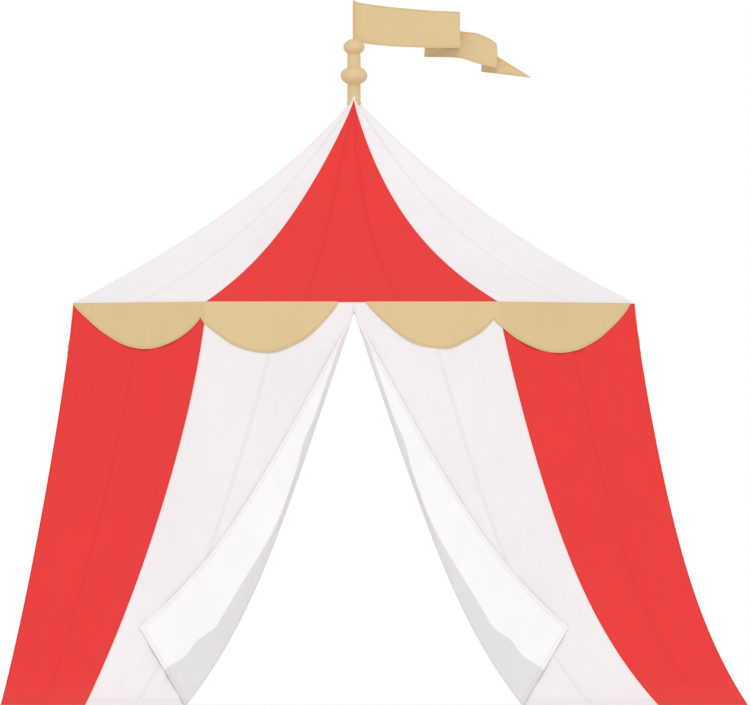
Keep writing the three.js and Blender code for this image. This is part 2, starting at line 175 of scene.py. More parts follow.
def roof_corner(index, h):
    """A hip's point at h of the way up: the eave's corner drawn in, no closer than the mast's collar."""
    x, y, far = CORNERS[index % 8]
    hand = "left" if x < 0 else "right"
    h = np.asarray(h, float)

    def along(axis, way):
        if far == axis:
            return np.maximum(REACH * draw_in(ROOF_REACH[way], h), COLLAR_RADIUS)
        return HALF[way] * draw_in(ROOF_HIP[way], h)

    height = EAVE + (PEAK - EAVE) * h + HEAD_RISE * ease(h, HEAD_RISE_FROM, 1.0)
    return np.stack([x * along("x", hand), y * along("y", "deep"), height], -1)


def away(points, distance):
    """Points moved level away from the mast by a distance, one for all or one for each."""
    flat = np.linalg.norm(points[..., :2], axis=-1, keepdims=True)
    moved = points.copy()
    moved[..., :2] *= 1 + np.asarray(distance)[..., None] / flat
    return moved


def between(a, b, share):
    """The points that lie a share of the way from a to b."""
    return a + (b - a) * np.asarray(share)[..., None]


def outward(points):
    """Unit normals of a grid whose rows run down and whose columns run to the right seen from outside."""
    normal = np.cross(np.gradient(points, axis=0), np.gradient(points, axis=1))
    size = np.linalg.norm(normal, axis=2, keepdims=True)
    return normal / np.maximum(size, 1e-12)


def lengths(points, axis):
    """How far each point of a grid is along its row (axis 1) or its column (axis 0)."""
    step = np.linalg.norm(np.diff(points, axis=axis), axis=2)
    start = np.zeros_like(np.take(step, [0], axis=axis))
    return np.concatenate([start, np.cumsum(step, axis=axis)], axis=axis)


def seam_shares(count, width, panels):
    """Where a sheet's columns lie on rows of the given widths, as shares of the width. They are even, and at
    each seam five columns hold the raised band, so that its width stays the same where the sheet widens. The
    band narrows where panels are too slim for it."""
    seams = [k / panels for k in range(1, panels)]
    offsets = np.array([-SEAM_HALF - 0.002, -SEAM_HALF + 0.002, 0, SEAM_HALF - 0.002, SEAM_HALF + 0.002])
    even = np.linspace(0, 1, count + 1)
    keep = np.ones_like(even, bool)
    for seam in seams:
        keep &= np.abs(even - seam) > 0.6 / count
    base = np.concatenate([even[keep], np.repeat(seams, 5)])
    metric = np.concatenate([np.zeros(keep.sum()), np.tile(offsets, len(seams))])
    order = np.argsort(base + metric * 0.05)
    room = np.clip(width / panels * 0.25 / SEAM_HALF, 0, 1)
    return base[order] + metric[order] * (room / width)[:, None]


def seam_relief(share, width, panels):
    """How proud the seams stand: a flat band with eased edges at each whole number of panels."""
    panel = share * panels
    inner = (panel > 0.5) & (panel < panels - 0.5)
    near = np.abs(panel - np.round(panel)) * width[:, None] / panels
    return np.where(inner, SEAM_RISE * (1 - ease(near, SEAM_HALF - 0.0025, SEAM_HALF + 0.0015)), 0)


# Meshes.

def placed(name, data):
    """A new object in the scene that holds a mesh, a camera or a lamp."""
    made = bpy.data.objects.new(name, data)
    bpy.context.collection.objects.link(made)
    return made


def make_object(name, points, faces, layout, marks, material, sharp=50):
    """A mesh object at the origin from points round the mast, arrays of faces with the same number of
    corners, a flat layout in metres for each point and any marks, which are one number for each point."""
    mesh = bpy.data.meshes.new(name)
    sizes = np.concatenate([np.full(len(patch), patch.shape[1]) for patch in faces])
    corners = np.concatenate([patch.ravel() for patch in faces])
    places = np.asarray(points, float).reshape(-1, 3).copy()
    places[:, 0] += MAST_X
    mesh.vertices.add(len(places))
    mesh.vertices.foreach_set("co", places.ravel())
    mesh.loops.add(len(corners))
    mesh.loops.foreach_set("vertex_index", corners.astype(np.int32))
    mesh.polygons.add(len(sizes))
    mesh.polygons.foreach_set("loop_start", np.concatenate([[0], np.cumsum(sizes)[:-1]]).astype(np.int32))
    layer = mesh.uv_layers.new(name="cut")
    layer.data.foreach_set("uv", np.asarray(layout, float)[corners].ravel())
    for mark, values in marks.items():
        held = mesh.attributes.new(mark, "FLOAT", "POINT")
        held.data.foreach_set("value", np.asarray(values, float).ravel())
    mesh.update(calc_edges=True)
    mesh.validate()
    mesh.shade_smooth()
    mesh.set_sharp_from_angle(angle=math.radians(sharp))
    mesh.materials.append(material)
    return placed(name, mesh)


def sheet_faces(rows, columns):
    """Quads of a closed sheet: the outer grid, the inner one behind it and the strips round its edges."""
    at = np.arange(rows * columns).reshape(rows, columns)
    back = at + rows * columns
    quads = [
        np.stack([at[:-1, :-1], at[1:, :-1], at[1:, 1:], at[:-1, 1:]], -1),
        np.stack([back[:-1, :-1], back[:-1, 1:], back[1:, 1:], back[1:, :-1]], -1),
        np.stack([at[:-1, 0], back[:-1, 0], back[1:, 0], at[1:, 0]], -1),
        np.stack([at[:-1, -1], at[1:, -1], back[1:, -1], back[:-1, -1]], -1),
        np.stack([at[0, :-1], at[0, 1:], back[0, 1:], back[0, :-1]], -1),
        np.stack([at[-1, :-1], back[-1, :-1], back[-1, 1:], at[-1, 1:]], -1),
    ]
    return [quad.reshape(-1, 4) for quad in quads]


def cloth_sheet(name, face, thickness, material, marks, node, extra=()):
    """A closed sheet of cloth behind a grid of points on its outer face; its back is the face moved in along
    the normals. The flat layout is the distance across and down the sheet."""
    back = face - outward(face) * thickness
    across, down = lengths(face, 1), lengths(face, 0)
    layout = np.stack([across - across[:, -1:] / 2, down], -1).reshape(-1, 2)
    made = make_object(
        name,
        np.concatenate([face.reshape(-1, 3), back.reshape(-1, 3)]),
        sheet_faces(*face.shape[:2]),
        np.concatenate([layout, layout]),
        {key: np.concatenate([np.ravel(value)] * 2) for key, value in marks.items()},
        material,
    )
    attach(made, "root")
    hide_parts(node)


def tube(name, path, radius, material, sides):
    """A round bar along a path: rings square to it, level on one side, with domed ends of three rings."""
    path = np.asarray(path, float)
    along = np.gradient(path, axis=0)
    along /= np.linalg.norm(along, axis=1, keepdims=True)
    guide = np.array([0.0, 0.0, 1.0]) if abs(along[:, 2]).mean() < 0.8 else np.array([1.0, 0.3, 0.0])
    one = np.cross(along, guide)
    one /= np.linalg.norm(one, axis=1, keepdims=True)
    two = np.cross(along, one)
    dome = np.array([0.0, 0.55, 0.86])
    step = np.array([-1.0, -0.82, -0.45])
    size = np.broadcast_to(radius, len(path))
    sizes = np.concatenate([dome * size[0], size, dome[::-1] * size[-1]])
    centre = np.concatenate([
        path[0] + along[0] * step[:, None] * size[0],
        path,
        path[-1] - along[-1] * step[::-1, None] * size[-1],
    ])
    one, two = (np.pad(way, ((3, 3), (0, 0)), "edge") for way in (one, two))
    turn = (np.arange(sides) * TAU / sides)[:, None]
    ring = np.cos(turn) * one[:, None] + np.sin(turn) * two[:, None]
    return revolved(name, centre[:, None] + sizes[:, None, None] * ring, material)


def revolved(name, rings, material, sharp=50):
    """A closed skin through rings of points, each turning anticlockwise about the way from ring to ring; the
    first and the last ring are points. The flat layout is the distance round and along."""
    count, sides = rings.shape[:2]
    wrapped = np.concatenate([rings, rings[:, :1]], 1)
    around, along = lengths(wrapped, 1), lengths(wrapped, 0)
    at = np.arange((count - 2) * sides).reshape(count - 2, sides) + 1
    nxt = np.roll(at, -1, 1)
    quads = np.stack([at[:-1], nxt[:-1], nxt[1:], at[1:]], -1).reshape(-1, 4)
    last = (count - 2) * sides + 1
    first_fan = np.stack([np.zeros(sides, int), nxt[0], at[0]], -1)
    last_fan = np.stack([np.full(sides, last), at[-1], nxt[-1]], -1)
    points = np.concatenate([rings[0, :1], rings[1:-1].reshape(-1, 3), rings[-1, :1]])
    layout = np.stack([around[:, :-1], along[:, :-1]], -1)
    layout = np.concatenate([layout[0, :1], layout[1:-1].reshape(-1, 2), layout[-1, :1]])
    made = make_object(name, points, [quads, first_fan, last_fan], layout, {}, material, sharp)
    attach(made, "root")
    return made


def turned(name, profile, material, sides, sharp=50):
    """A shape turned on the mast: each (radius, height) of the profile, from its foot up, is a ring."""
    profile = np.asarray(profile, float)
    turn = np.arange(sides) * TAU / sides
    rings = np.stack([
        profile[:, :1] * np.cos(turn),
        profile[:, :1] * np.sin(turn),
        np.repeat(profile[:, 1:], sides, 1),
    ], -1)
    return revolved(name, rings, material, sharp)


# Materials.

def srgb(red, green, blue):
    """A colour from its 0 to 255 display values."""
    value = np.array([red, green, blue]) / 255
    linear = np.where(value <= 0.04045, value / 12.92, ((value + 0.055) / 1.055) ** 2.4)
    return (*[float(part) for part in linear], 1.0)


class Graph:
    """Nodes of one tree, added by kind with their settings and inputs. An input is a value or a socket."""

    def __init__(self, tree):
        self.tree = tree

    def feed(self, node, inputs):
        for key, value in inputs.items():
            if isinstance(value, bpy.types.NodeSocket):
                self.tree.links.new(value, node.inputs[key])
            else:
                node.inputs[key].default_value = value

    def add(self, kind, inputs=None, **settings):
        made = self.tree.nodes.new(kind)
        for key, value in settings.items():
            setattr(made, key, value)
        self.feed(made, inputs or {})
        return made

    def shared(self, tree, inputs):
        """A shared group at work in this tree."""
        return self.add("ShaderNodeGroup", inputs, node_tree=tree).outputs

    def maths(self, operation, *values):
        return self.add("ShaderNodeMath", dict(enumerate(values)), operation=operation).outputs[0]

    def weighted(self, *parts, start=0.0):
        """The start plus each value times its weight."""
        total = start
        for value, weight in parts:
            total = self.maths("MULTIPLY_ADD", value, weight, total)
        return total

    def rise(self, value, low, high, to_low=0.0, to_high=1.0):
        """An S-shaped way from one number at low to the other at high."""
        made = self.add(
            "ShaderNodeMapRange",
            {"Value": value, "From Min": low, "From Max": high, "To Min": to_low, "To Max": to_high},
            interpolation_type="SMOOTHSTEP",
        )
        return made.outputs["Result"]

    def mix(self, share, one, two, blend="MIX"):
        inputs = {0: share, 6: one, 7: two}
        return self.add("ShaderNodeMix", inputs, data_type="RGBA", blend_type=blend).outputs[2]

    def noise(self, place, scale, detail, roughness=0.5):
        inputs = {"Vector": place, "Scale": scale, "Detail": detail, "Roughness": roughness}
        return self.add("ShaderNodeTexNoise", inputs).outputs["Fac"]

    def stretched(self, place, scale):
        return self.add("ShaderNodeMapping", {"Vector": place, "Scale": scale}).outputs[0]

    def bump(self, height, strength):
        inputs = {"Height": height, "Strength": strength, "Distance": 1.0}
        return self.add("ShaderNodeBump", inputs).outputs[0]

    def mark(self, name):
        return self.add("ShaderNodeAttribute", attribute_name=name, attribute_type="GEOMETRY").outputs["Fac"]

    def place(self):
        return self.add("ShaderNodeTexCoord").outputs["Object"]

    def cut(self):
        return self.add("ShaderNodeUVMap", uv_map="cut").outputs["UV"]


def group(name, inputs, outputs):
    """An empty shader group with named inputs (kind, value) and outputs (kind)."""
    tree = bpy.data.node_groups.new(name, "ShaderNodeTree")
    for key, (kind, value) in inputs.items():
        socket = tree.interface.new_socket(key, in_out="INPUT", socket_type=kind)
        if value is not None:
            socket.default_value = value
    for key, kind in outputs.items():
        tree.interface.new_socket(key, in_out="OUTPUT", socket_type=kind)
    graph = Graph(tree)
    return graph, graph.add("NodeGroupInput").outputs, graph.add("NodeGroupOutput")


NUMBER, VECTOR = "NodeSocketFloat", "NodeSocketVector"


def weave_group():
    """Plain weave: threads each way as rounded ridges, over and under in turn."""
    g, given, out = group(
        "Canvas weave", {"Layout": (VECTOR, None), "Thread": (NUMBER, 0.003)}, {"Height": NUMBER},
    )
    parts = g.add("ShaderNodeSeparateXYZ", {0: given["Layout"]}).outputs
    turns = [g.maths("MULTIPLY", g.maths("DIVIDE", parts[i], given["Thread"]), math.pi) for i in (0, 1)]
    waves = [g.maths("SINE", turn) for turn in turns]
    warp, weft = (g.maths("ABSOLUTE", wave) for wave in waves)
    over = g.maths("MULTIPLY", *waves)
    g.feed(out, {"Height": g.weighted((warp, 0.4), (weft, 0.4), (over, 0.2))})
    return g.tree


def seam_group():
    """A flat band up to half its width from a line, a row of stitches inside its edge, and the edge."""
    g, given, out = group(
        "Stitched band",
        {"Distance": (NUMBER, 0.0), "Along": (NUMBER, 0.0), "Half Width": (NUMBER, SEAM_HALF)},
        {"Band": NUMBER, "Stitches": NUMBER, "Edge": NUMBER},
    )
    inset, stitch, thread = 0.005, 0.016, 0.0022
    over = g.maths("SUBTRACT", given["Distance"], given["Half Width"])
    row = g.maths("ABSOLUTE", g.maths("ADD", over, inset))
    line = g.rise(row, thread / 2, thread, 1.0, 0.0)
    place = g.maths("FRACT", g.maths("DIVIDE", given["Along"], stitch))
    dash = g.rise(g.maths("ABSOLUTE", g.maths("SUBTRACT", place, 0.5)), 0.30, 0.36, 1.0, 0.0)
    g.feed(out, {
        "Band": g.rise(over, -0.0015, 0.0015, 1.0, 0.0),
        "Stitches": g.maths("MULTIPLY", line, dash),
        "Edge": g.rise(g.maths("ABSOLUTE", over), 0.0, 0.004, 1.0, 0.0),
    })
    return g.tree


def tone_group():
    """Unevenness of dyed and weathered cloth: a broad cloud, a finer one and faint upright streaks."""
    g, given, out = group("Weathered tone", {"Place": (VECTOR, None)}, {"Tone": NUMBER, "Creases": NUMBER})
    broad = g.noise(given["Place"], 0.9, 3.0, 0.55)
    fine = g.noise(given["Place"], 7.0, 4.0, 0.6)
    streak = g.noise(g.stretched(given["Place"], (4.0, 4.0, 0.7)), 2.0, 3.0)
    tone = g.rise(g.weighted((broad, 0.5), (fine, 0.2), (streak, 0.3)), 0.3, 0.7)
    g.feed(out, {"Tone": tone, "Creases": g.weighted((streak, 0.7), (fine, 0.3))})
    return g.tree


def dust_group():
    """Dust kicked up from the ground: strongest at the foot, broken up and gone at its reach."""
    g, given, out = group("Ground dust", {"Place": (VECTOR, None), "Reach": (NUMBER, 0.5)}, {"Dust": NUMBER})
    height = g.add("ShaderNodeSeparateXYZ", {0: given["Place"]}).outputs[2]
    cloud = g.noise(given["Place"], 3.0, 5.0, 0.65)
    limit = g.maths("MULTIPLY", given["Reach"], g.maths("ADD", cloud, 0.3))
    left = g.maths("SUBTRACT", 1.0, g.maths("DIVIDE", height, limit))
    full = g.add("ShaderNodeClamp", {"Value": left}).outputs[0]
    g.feed(out, {"Dust": g.maths("POWER", full, 1.6)})
    return g.tree


def drawn_group():
    """Fine draw marks of metal tube, with a cloudy dulling."""
    g, given, out = group("Draw marks", {"Place": (VECTOR, None)}, {"Marks": NUMBER, "Dull": NUMBER})
    marks = g.noise(g.stretched(given["Place"], (60.0, 60.0, 3.0)), 4.0, 4.0, 0.6)
    cloud = g.noise(given["Place"], 5.0, 4.0, 0.6)
    g.feed(out, {"Marks": marks, "Dull": g.rise(cloud, 0.35, 0.7)})
    return g.tree


WEAVE, SEAM, TONE, DUST, DRAWN = weave_group(), seam_group(), tone_group(), dust_group(), drawn_group()


def shader(name, inputs):
    """A material with one Principled shader and its constant sockets set."""
    material = bpy.data.materials.new(name)
    material.use_nodes = True
    material.node_tree.nodes.clear()
    g = Graph(material.node_tree)
    surface = g.add("ShaderNodeBsdfPrincipled", inputs)
    g.add("ShaderNodeOutputMaterial", {"Surface": surface.outputs[0]}).is_active_output = True
    return material, g, surface


def scaled(colour, factor):
    """A colour made lighter or darker by a factor."""
    return (*[float(part) * factor for part in colour[:3]], 1.0)


CLOTH = {"Sheen Weight": 0.03, "Sheen Roughness": 0.5, "Specular IOR Level": 0.12}
DUST_COLOUR = (0.50, 0.43, 0.36, 1.0)


def canvas(
    name, colour, panels=True, strip=None, dust=0.0,
    thread=0.003, hem_band=HEM_BAND, depth=0.93, crumple=0.010,
):
    """Coated canvas: its colour weathers a little, is deeper at seams and hems, carries stitches, and gathers
    dust at the foot. Cloth that has turned to the opening has a strip mark under 1 and the strip's colour, a
    painted grey shade for the side of the fold that faces the opening; the painted shade is deeper where the
    mark is well under 0, inside the fold."""
    material, g, surface = shader(name, CLOTH)
    place, cut = g.place(), g.cut()
    weather = g.shared(TONE, {"Place": place})
    tone = weather["Tone"]
    base = g.mix(tone, scaled(colour, 0.972), scaled(colour, 1.022))
    deeper = scaled(colour, depth)
    if strip is not None:
        # Painted shade: the grey strip colour where the strip mark is under 1, and a deeper painted shade
        # inside the fold, where the mark is well under 0.
        mark = g.mark("strip")
        strip_shade_base = g.mix(tone, scaled(strip, 0.975), scaled(strip, 1.02))
        base = g.mix(g.rise(mark, 0.97, 1.03, 1.0, 0.0), base, strip_shade_base)
        base = g.mix(g.rise(mark, -0.45, -0.15, 1.0, 0.0), base, scaled(strip, 0.86))
        deeper = g.mix(0.9, base, deeper, "MULTIPLY")
    across, along = g.add("ShaderNodeSeparateXYZ", {0: cut}).outputs[:2]
    bands = [(g.mark("hem"), across, hem_band)]
    if panels:
        share = g.maths("FRACT", g.mark("panel"))
        near = g.maths("SUBTRACT", 0.5, g.maths("ABSOLUTE", g.maths("SUBTRACT", share, 0.5)))
        bands.append((g.maths("MULTIPLY", near, g.mark("pitch")), along, SEAM_HALF))
    stitches, deep = 0.0, 0.0
    for distance, run, half in bands:
        sewn = g.shared(SEAM, {"Distance": distance, "Along": run, "Half Width": half})
        stitches = g.maths("MAXIMUM", stitches, sewn["Stitches"])
        deep = g.maths("MAXIMUM", deep, g.maths("MULTIPLY", sewn["Band"], 0.6))
        deep = g.maths("MAXIMUM", deep, sewn["Edge"])
    base = g.mix(g.maths("MULTIPLY", deep, 0.85), base, deeper)
    base = g.mix(g.maths("MULTIPLY", stitches, 0.55), base, scaled(colour, 0.78))
    if dust:
        cloud = g.shared(DUST, {"Place": place, "Reach": 0.42})["Dust"]
        base = g.mix(g.maths("MULTIPLY", cloud, dust), base, DUST_COLOUR)
    woven = g.shared(WEAVE, {"Layout": cut, "Thread": thread})["Height"]
    rough = g.weighted((tone, 0.10), (woven, 0.10), start=0.66)
    height = g.weighted((woven, 0.00012), (weather["Creases"], crumple), (stitches, -0.0008))
    g.feed(surface, {"Base Color": base, "Roughness": rough, "Normal": g.bump(height, 0.7)})
    return material


def binding(name, colour):
    """Narrow cloth bindings: weave and a slow unevenness, without seams."""
    material, g, surface = shader(name, CLOTH)
    tone = g.shared(TONE, {"Place": g.place()})["Tone"]
    woven = g.shared(WEAVE, {"Layout": g.cut(), "Thread": 0.002})["Height"]
    g.feed(surface, {
        "Base Color": g.mix(tone, scaled(colour, 0.95), scaled(colour, 1.01)),
        "Roughness": g.weighted((woven, 0.12), start=0.66),
        "Normal": g.bump(g.maths("MULTIPLY", woven, 0.0002), 0.6),
    })
    return material


def metal(name, colour):
    """Bare drawn tube or plate: fine marks in its roughness and a faint dulling of its colour."""
    material, g, surface = shader(name, {"Metallic": 1.0})
    drawn = g.shared(DRAWN, {"Place": g.place()})
    g.feed(surface, {
        "Base Color": g.mix(drawn["Dull"], colour, scaled(colour, 0.82)),
        "Roughness": g.weighted((drawn["Marks"], 0.22), (drawn["Dull"], 0.08), start=0.28),
        "Normal": g.bump(g.maths("MULTIPLY", drawn["Marks"], 0.0004), 0.5),
    })
    return material


def gilt(name, colour):
    """Gold paint over turned metal: satin, slightly clouded, with fine lathe marks round it."""
    material, g, surface = shader(
        name, {"Roughness": 0.5, "Specular IOR Level": 0.25, "Coat Weight": 0.08, "Coat Roughness": 0.35},
    )
    place = g.place()
    tone = g.shared(TONE, {"Place": place})["Tone"]
    height = g.add("ShaderNodeSeparateXYZ", {0: place}).outputs[2]
    rings = g.maths("MULTIPLY", g.maths("SINE", g.maths("MULTIPLY", height, 1600.0)), 0.00012)
    g.feed(surface, {
        "Base Color": g.mix(tone, scaled(colour, 0.96), scaled(colour, 1.03)),
        "Normal": g.bump(rings, 0.5),
    })
    return material


RED = srgb(237, 62, 61)
# One white canvas in two copies: the roof's white is painted lighter than the walls' to make up for the
# lesser light that falls on the roof.
ROOF_WHITE = srgb(252, 246, 246)
WALL_WHITE = srgb(242, 236, 236)
LINING = srgb(248, 246, 247)
# Painted shade: the grey of the flap's turned strip stands in for the shade on the side of the fold that
# faces the opening.
STRIP_SHADE = srgb(225, 223, 225)
GOLD = srgb(223, 197, 149)
HIGH_GOLD = srgb(225, 201, 153)
METAL = (0.62, 0.64, 0.66, 1.0)

red_canvas = canvas("Red canvas", RED)
white_canvas = canvas("White canvas", ROOF_WHITE)
red_wall = canvas("Red wall canvas", RED, dust=0.04)
white_wall = canvas("White wall canvas", WALL_WHITE, dust=0.06)
lining = canvas("Flap lining", LINING, panels=False, strip=STRIP_SHADE, hem_band=0.045, depth=0.97)
gold_cloth = canvas("Gold cloth", GOLD, panels=False, thread=0.002, hem_band=0.020, depth=0.88)
streamer_cloth = canvas(
    "Streamer cloth", HIGH_GOLD, panels=False, thread=0.002, hem_band=0.020, depth=0.90, crumple=0.003,
)
gilt_paint = gilt("Gilt paint", HIGH_GOLD)
bare_metal = metal("Frame metal", METAL)
white_binding = binding("White binding", ROOF_WHITE)
red_binding = binding("Red binding", RED)
gold_binding = binding("Gold binding", GOLD)


# Camera, floor and light.

def aim(piece, way):
    """Turns a camera or a lamp to face along a way."""
    piece.rotation_mode = "QUATERNION"
    piece.rotation_quaternion = way.to_track_quat("-Z", "Y")


def set_camera():
    """A very long lens square to the front, a little above the ground. It stands so far off that the picture
    is 7.5 m wide at the plane that it looks at, 2 m before the mast."""
    plane, wide = -2.0, 7.5
    data = bpy.data.cameras.new("camera")
    data.lens, data.sensor_width = 1580.0, 36.0
    data.clip_start, data.clip_end = 1.0, 2000.0
    camera = placed("camera", data)
    camera.location = (MAST_X, plane - wide * data.lens / data.sensor_width, EYE_LEVEL)
    aim(camera, Vector((0.0077, plane, 3.529)) - camera.location)
    bpy.context.scene.camera = camera


def set_floor():
    """A round pale floor: a flat disc in three rings."""
    sides = 96
    turn = np.arange(sides) * TAU / sides
    radii = np.array([8.0, 24.0, 120.0])[:, None]
    rings = np.stack([radii * np.cos(turn), radii * np.sin(turn), np.zeros((3, sides))], -1)
    at = np.arange(3 * sides).reshape(3, sides) + 1
    nxt = np.roll(at, -1, 1)
    faces = [
        np.stack([at[:-1], at[1:], nxt[1:], nxt[:-1]], -1).reshape(-1, 4),
        np.stack([np.zeros(sides, int), at[0], nxt[0]], -1),
    ]
    points = np.concatenate([np.zeros((1, 3)), rings.reshape(-1, 3)])
    material, g, surface = shader("Pale floor", {
        "Roughness": 0.9, "Specular IOR Level": 0.0,
        "Emission Strength": 0.16, "Emission Color": (1, 1, 1, 1),
    })
    cloud = g.noise(g.place(), 0.6, 3.0)
    g.feed(surface, {"Base Color": g.mix(cloud, (0.95, 0.95, 0.95, 1), (0.97, 0.97, 0.97, 1))})
    floor = make_object("floor", points, faces, points[:, :2], {}, material)


def add_lamp(name, kind, energy):
    """A lamp of a kind and a strength."""
    data = bpy.data.lights.new(name, kind)
    data.energy = energy
    return placed(name, data)


def set_light():
    """An even pale sky that the camera sees as white, one broad soft sun high over the front, and a glow
    inside for the daylight that comes through the canvas."""
    scene = bpy.context.scene
    scene.view_settings.view_transform = "Standard"
    scene.world = bpy.data.worlds.new("sky")
    scene.world.use_nodes = True
    g = Graph(scene.world.node_tree)
    g.tree.nodes.clear()
    seen = g.add("ShaderNodeLightPath").outputs["Is Camera Ray"]
    strength = g.add("ShaderNodeMapRange", {"Value": seen, "To Min": 0.69, "To Max": 1.0}).outputs["Result"]
    back = g.add("ShaderNodeBackground", {"Color": (1, 1, 1, 1), "Strength": strength})
    g.add("ShaderNodeOutputWorld", {"Surface": back.outputs[0]})
    sun = add_lamp("sun", "SUN", 0.83)
    sun.data.angle = math.radians(24)
    aim(sun, Vector((-0.02, 0.68, -0.76)))
    glow = add_lamp("glow", "POINT", 60.0)
    glow.data.shadow_soft_size = 1.0
    glow.location = (MAST_X, 0.2, 2.6)
    glow.visible_camera = False


set_camera()
set_floor()
set_light()


# Roof.

# The gores' lip over the eave: how far down and how far out each of its rows lies.
LIP = ((0.0005, 0.0010), (0.0018, 0.0022), (0.0040, 0.0027), (0.0060, 0.0027))


def is_deep(index):
    """Whether a corner of the octagon ends the front or the back side."""
    return CORNERS[index % 8][2] == "y"


def panel_marks(face, share, width, panels):
    """What the canvas has to know at each point: its place in panels, how wide a panel is there, and how far
    it is from the foot of the sheet."""
    down = lengths(face, 0)
    return {
        "panel": share * panels,
        "pitch": np.repeat(width[:, None] / panels, share.shape[1], 1),
        "hem": down[-1:] - down,
    }


def gore_face(side, panels):
    """One gore's outer face. Rows from the peak to the eave at h = top (1 - v ** 1.6); across, shares of the
    line between the two hips. It sinks towards the mast between its hips by a parabola each way, keeps clear
    of the post, gathers in small pleats towards the peak, is pulled into slight waves above the eave, and
    turns down over the eave in a short lip."""
    broad = side % 2 == 0
    v = np.concatenate([np.linspace(0, 0.06, 5)[:-1], np.linspace(0.06, 1, 76)])
    fall = 1 - v ** 1.6
    row_h = GORE_TIP * fall
    width = np.linalg.norm(roof_corner(side + 1, row_h) - roof_corner(side, row_h), axis=1)
    share = seam_shares(44 if broad else 32, width, panels)
    tips = [GORE_TIP if is_deep(edge) else SIDE_TIP for edge in (side, side + 1)]
    top = tips[0] + (tips[1] - tips[0]) * share - (0 if broad else CORNER_GORE_DIP * np.sin(np.pi * share))
    h = top * fall[:, None]
    a, b = roof_corner(side, h), roof_corner(side + 1, h)
    face = between(a, b, share)
    chord = np.linalg.norm(b - a, axis=-1)
    face = away(face, -GORE_PINCH * chord * 4 * share * (1 - share) * 4 * h * (1 - h))
    radius = np.linalg.norm(face[..., :2], axis=-1)
    face = away(face, np.maximum(0, COLLAR_RADIUS - radius))
    window = np.sin(np.pi * np.clip(share, 0, 1)) ** 0.7
    pleats = PLEAT * ease(h, 0.55, 0.92) * np.cos(TAU * 7 * share + 0.6) * np.minimum(1, chord / 0.5)
    count = 5 if broad else 3
    waves = EAVE_WAVE * np.exp(-h / 0.10) * np.cos(TAU * count * share + side) * ease(h, 0.0, 0.05)
    relief = seam_relief(share, width, panels) + window * (pleats + waves)
    face = face + outward(face) * relief[..., None]
    eave = between(wall_corner(side, 0), wall_corner(side + 1, 0), share[-1])
    lip = [away(eave - [0, 0, drop], out) for drop, out in LIP]
    face = np.concatenate([face, lip])
    return face, np.pad(share, ((0, len(LIP)), (0, 0)), "edge"), np.pad(width, (0, len(LIP)), "edge")


def make_roof():
    """Eight gores, and a bound welt along each hip that thickens towards the peak."""
    for side, name in enumerate(SIDES):
        broad = side % 2 == 0
        panels = 3 if broad else 2
        face, share, width = gore_face(side, panels)
        cloth_sheet(
            f"gore_{name}", face, CANVAS, red_canvas if broad else white_canvas,
            panel_marks(face, share, width, panels),
            f"roof_gore_{name}",
        )
    for index, name in enumerate(CORNER_NAMES):
        h = np.linspace(0, GORE_TIP if is_deep(index) else SIDE_WELT_TIP, 120)
        path = away(roof_corner(index, h), 0.0008) + [0, 0, 0.0008]
        radius = 0.0040 + 0.0035 * ease(h, 0.80, 1.0)
        tube(f"hip_welt_{name}", path, radius, white_binding, 10)


# Walls.

def drape(share, t, waves, seed):
    """How far the wall swings in and out: folds across that wander a little and grow with depth, and small
    gathers just under the eave."""
    wander = 0.55 * np.sin(TAU * share * 1.3 + seed) + 0.25 * np.sin(TAU * share * 2.9 + 2 * seed)
    main = np.cos(TAU * waves * share + wander + 0.3 * t)
    finer = 0.3 * np.cos(TAU * waves * 1.9 * share + 2.3 * wander + seed)
    window = np.sin(np.pi * np.clip(share, 0, 1)) ** 0.6
    folds = WALL_FOLD * t ** 1.5 * (main + finer)
    gathers = WALL_GATHER * np.exp(-t / 0.08) * t / 0.02 * main
    return window * (folds + gathers)


def wall_rows():
    """Depths of the wall's rows: even, and closer at the hem's band."""
    foot = 1 - HEM_LIFT / EAVE
    band = foot - HEM_BAND / WALL_LENGTH
    step = band + np.array([0.0004, 0.0011])
    return np.concatenate([np.linspace(0.0011, band, 56), step, np.linspace(band + 0.004, foot, 4)])


def hem_relief(from_hem):
    """How proud the hem stands: a flat band with an eased upper edge."""
    return HEM_RISE * (1 - ease(from_hem, HEM_BAND - 0.003, HEM_BAND + 0.002))


def dress_wall(part, face, share, width, panels, swing, red):
    """Moves a wall's face out, level and square to it, by its swing and its relief, and makes its sheet."""
    level = np.cross(np.gradient(face, axis=1), [0.0, 0.0, 1.0])
    level /= np.linalg.norm(level, axis=2, keepdims=True)
    marks = panel_marks(face, share, width, panels)
    relief = swing + seam_relief(share, width, panels) + hem_relief(marks["hem"])
    cloth_sheet(
        f"wall_sheet_{part}", face + level * relief[..., None], CANVAS, red_wall if red else white_wall,
        marks, f"wall_{part}",
    )


def make_side_walls():
    """The corner walls and the left and right walls: each row runs level between its two corners."""
    t = wall_rows()
    for side, name in enumerate(SIDES):
        if name in ("front", "back"):
            continue
        broad = side % 2 == 0
        panels = 6 if broad else 2
        a, b = wall_corner(side, t), wall_corner(side + 1, t)
        width = np.linalg.norm(b - a, axis=1)
        share = seam_shares(90 if broad else 44, width, panels)
        face = between(a[:, None], b[:, None], share)
        swing = drape(share, t[:, None], 13 if broad else 3, 0.7 + side)
        dress_wall(name, face, share, width, panels, swing, not broad)


def door_head(facing):
    """The height of an entrance's head. The back entrance is a little larger than the front one."""
    return DOOR_HEAD if facing < 0 else EYE_LEVEL + BACK_LARGER * (DOOR_HEAD - EYE_LEVEL)


